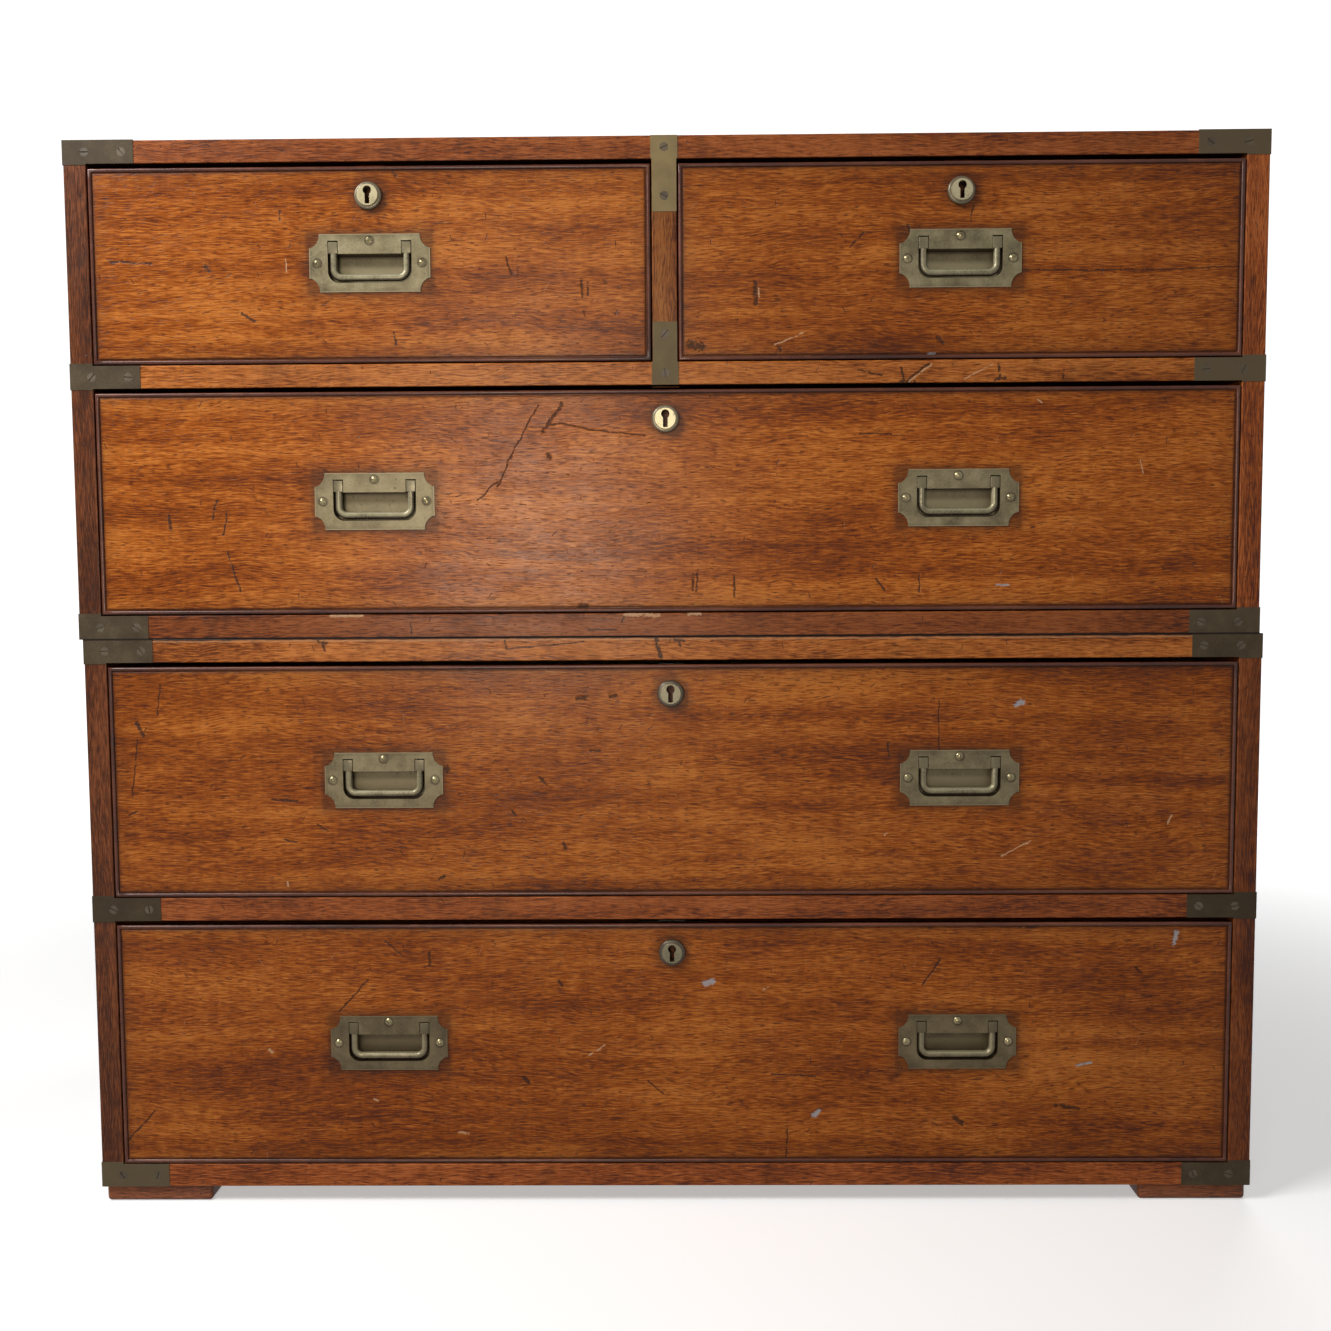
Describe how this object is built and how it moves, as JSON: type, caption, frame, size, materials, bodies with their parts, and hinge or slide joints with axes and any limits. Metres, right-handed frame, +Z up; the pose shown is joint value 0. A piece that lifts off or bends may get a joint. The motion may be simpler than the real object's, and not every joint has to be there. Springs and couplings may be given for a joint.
{
  "type": "campaign chest",
  "caption": "Brass-bound wooden campaign chest that parts into stacked cases, with beaded drawers that slide, flush swinging bail handles and round nozzle locks",
  "frame": {"origin": "on the floor, under the middle of the chest's overall box", "axes": "+X to the right of a person facing the drawers, +Y to the back, +Z up"},
  "size_m": [1.0038, 0.466, 0.9094],
  "materials": {
    "case_wood": "old wax polish, red-brown mahogany",
    "front_wood": "old wax polish, orange-brown mahogany",
    "lining_wood": "bare, aged",
    "inner_wood": "bare, rough, aged",
    "bracket_brass": "dull, darkened with age",
    "handle_brass": "dull, worn",
    "lock_brass": "dull, worn bright on the face",
    "screw_brass": "dull, dark in the slot",
    "bolt_steel": "plain, worn"
  },
  "bodies": {
    "lower_case": {"feet": "case_wood", "locating_pegs": "inner_wood", "lower_side_left": "case_wood", "lower_side_right": "case_wood", "lower_top": "case_wood", "lower_bottom": "case_wood", "lower_drawer_rail": "case_wood", "lower_runners": "inner_wood", "lower_back": "inner_wood", "lower_corner_brackets": "bracket_brass", "lower_bracket_screws": "screw_brass"},
    "upper_case": {"upper_side_left": "case_wood", "upper_side_right": "case_wood", "upper_top": "case_wood", "upper_bottom": "case_wood", "upper_drawer_rail": "case_wood", "upper_post": "case_wood", "upper_runners": "inner_wood", "upper_back": "inner_wood", "upper_corner_brackets": "bracket_brass", "upper_bracket_screws": "screw_brass"},
    "bottom_drawer": {"bottom_drawer_front": "front_wood", "bottom_drawer_box": "lining_wood", "bottom_drawer_bottom": "lining_wood", "bottom_drawer_handle_plates": "handle_brass", "bottom_drawer_lock": "lock_brass"},
    "bottom_drawer_lock_bolt": {"bottom_drawer_lock_bolt": "bolt_steel"},
    "bottom_drawer_left_bail": {"bottom_drawer_left_bail": "handle_brass"},
    "bottom_drawer_right_bail": {"bottom_drawer_right_bail": "handle_brass"},
    "third_drawer": {"third_drawer_front": "front_wood", "third_drawer_box": "lining_wood", "third_drawer_bottom": "lining_wood", "third_drawer_handle_plates": "handle_brass", "third_drawer_lock": "lock_brass"},
    "third_drawer_lock_bolt": {"third_drawer_lock_bolt": "bolt_steel"},
    "third_drawer_left_bail": {"third_drawer_left_bail": "handle_brass"},
    "third_drawer_right_bail": {"third_drawer_right_bail": "handle_brass"},
    "second_drawer": {"second_drawer_front": "front_wood", "second_drawer_box": "lining_wood", "second_drawer_bottom": "lining_wood", "second_drawer_handle_plates": "handle_brass", "second_drawer_lock": "lock_brass"},
    "second_drawer_lock_bolt": {"second_drawer_lock_bolt": "bolt_steel"},
    "second_drawer_left_bail": {"second_drawer_left_bail": "handle_brass"},
    "second_drawer_right_bail": {"second_drawer_right_bail": "handle_brass"},
    "top_left_drawer": {"top_left_drawer_front": "front_wood", "top_left_drawer_box": "lining_wood", "top_left_drawer_bottom": "lining_wood", "top_left_drawer_handle_plates": "handle_brass", "top_left_drawer_lock": "lock_brass"},
    "top_left_drawer_lock_bolt": {"top_left_drawer_lock_bolt": "bolt_steel"},
    "top_left_drawer_bail": {"top_left_drawer_bail": "handle_brass"},
    "top_right_drawer": {"top_right_drawer_front": "front_wood", "top_right_drawer_box": "lining_wood", "top_right_drawer_bottom": "lining_wood", "top_right_drawer_handle_plates": "handle_brass", "top_right_drawer_lock": "lock_brass"},
    "top_right_drawer_lock_bolt": {"top_right_drawer_lock_bolt": "bolt_steel"},
    "top_right_drawer_bail": {"top_right_drawer_bail": "handle_brass"}
  },
  "joints": [
    {"name": "upper_case_lift", "type": "slide", "parent": "lower_case", "child": "upper_case", "axis": [0, 0, 1], "range_m": [0, 0.15]},
    {"name": "bottom_drawer_slide", "type": "slide", "parent": "lower_case", "child": "bottom_drawer", "axis": [0, -1, 0], "range_m": [0, 0.3]},
    {"name": "bottom_drawer_bolt_throw", "type": "slide", "parent": "bottom_drawer", "child": "bottom_drawer_lock_bolt", "axis": [0, 0, 1], "range_m": [0, 0.009]},
    {"name": "bottom_drawer_left_bail_swing", "type": "hinge", "parent": "bottom_drawer", "child": "bottom_drawer_left_bail", "pos_m": [-0.24425, -0.22535, 0.1554], "axis": [-1, 0, 0], "range_deg": [0, 100]},
    {"name": "bottom_drawer_right_bail_swing", "type": "hinge", "parent": "bottom_drawer", "child": "bottom_drawer_right_bail", "pos_m": [0.24725, -0.22535, 0.1554], "axis": [-1, 0, 0], "range_deg": [0, 100]},
    {"name": "third_drawer_slide", "type": "slide", "parent": "lower_case", "child": "third_drawer", "axis": [0, -1, 0], "range_m": [0, 0.3]},
    {"name": "third_drawer_bolt_throw", "type": "slide", "parent": "third_drawer", "child": "third_drawer_lock_bolt", "axis": [0, 0, 1], "range_m": [0, 0.009]},
    {"name": "third_drawer_left_bail_swing", "type": "hinge", "parent": "third_drawer", "child": "third_drawer_left_bail", "pos_m": [-0.24425, -0.22535, 0.38515], "axis": [-1, 0, 0], "range_deg": [0, 100]},
    {"name": "third_drawer_right_bail_swing", "type": "hinge", "parent": "third_drawer", "child": "third_drawer_right_bail", "pos_m": [0.24725, -0.22535, 0.38515], "axis": [-1, 0, 0], "range_deg": [0, 100]},
    {"name": "second_drawer_slide", "type": "slide", "parent": "upper_case", "child": "second_drawer", "axis": [0, -1, 0], "range_m": [0, 0.3]},
    {"name": "second_drawer_bolt_throw", "type": "slide", "parent": "second_drawer", "child": "second_drawer_lock_bolt", "axis": [0, 0, 1], "range_m": [0, 0.009]},
    {"name": "second_drawer_left_bail_swing", "type": "hinge", "parent": "second_drawer", "child": "second_drawer_left_bail", "pos_m": [-0.24725, -0.22535, 0.6224], "axis": [-1, 0, 0], "range_deg": [0, 100]},
    {"name": "second_drawer_right_bail_swing", "type": "hinge", "parent": "second_drawer", "child": "second_drawer_right_bail", "pos_m": [0.24425, -0.22535, 0.6224], "axis": [-1, 0, 0], "range_deg": [0, 100]},
    {"name": "top_left_drawer_slide", "type": "slide", "parent": "upper_case", "child": "top_left_drawer", "axis": [0, -1, 0], "range_m": [0, 0.3]},
    {"name": "top_left_drawer_bolt_throw", "type": "slide", "parent": "top_left_drawer", "child": "top_left_drawer_lock_bolt", "axis": [0, 0, 1], "range_m": [0, 0.009]},
    {"name": "top_left_drawer_bail_swing", "type": "hinge", "parent": "top_left_drawer", "child": "top_left_drawer_bail", "pos_m": [-0.24725, -0.22535, 0.8199], "axis": [-1, 0, 0], "range_deg": [0, 100]},
    {"name": "top_right_drawer_slide", "type": "slide", "parent": "upper_case", "child": "top_right_drawer", "axis": [0, -1, 0], "range_m": [0, 0.3]},
    {"name": "top_right_drawer_bolt_throw", "type": "slide", "parent": "top_right_drawer", "child": "top_right_drawer_lock_bolt", "axis": [0, 0, 1], "range_m": [0, 0.009]},
    {"name": "top_right_drawer_bail_swing", "type": "hinge", "parent": "top_right_drawer", "child": "top_right_drawer_bail", "pos_m": [0.24425, -0.22535, 0.8199], "axis": [-1, 0, 0], "range_deg": [0, 100]}
  ]
}
